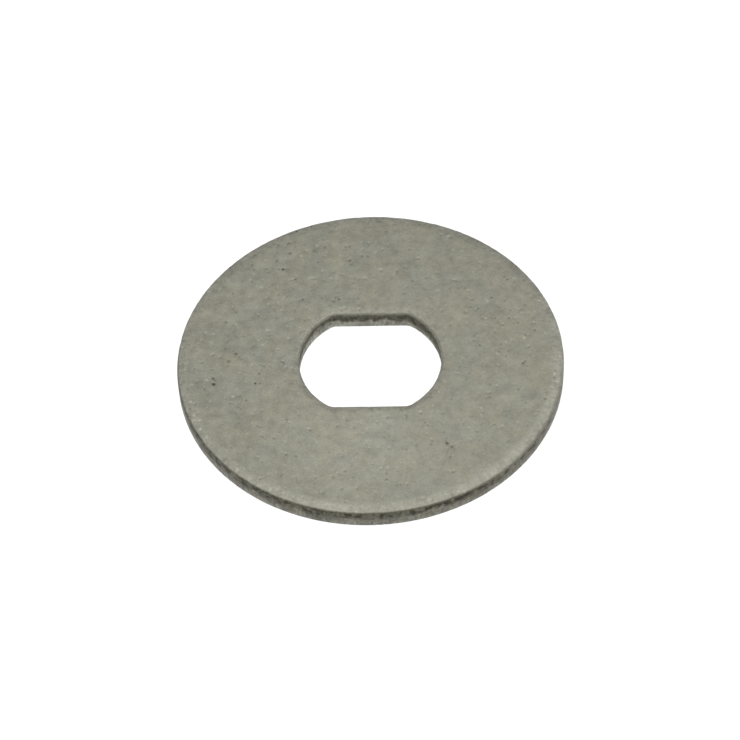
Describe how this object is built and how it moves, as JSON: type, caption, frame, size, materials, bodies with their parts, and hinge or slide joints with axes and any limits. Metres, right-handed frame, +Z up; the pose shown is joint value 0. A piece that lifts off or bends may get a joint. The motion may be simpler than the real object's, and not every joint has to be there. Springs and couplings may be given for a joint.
{
  "type": "double-D washer",
  "caption": "Flat round steel washer, sheared from sheet, with a double-D hole that keys it onto a shaft with matching flats.",
  "frame": {"origin": "centre of the underside, on the surface that the washer lies on", "axes": "+Z up along the washer's axis, from the fractured side of the edges to the rolled side; the two flats of the hole run along X"},
  "size_m": [0.033, 0.033, 0.0018],
  "materials": {
    "washer_steel": "matte"
  },
  "bodies": {
    "root": {"washer": "washer_steel"}
  },
  "joints": []
}
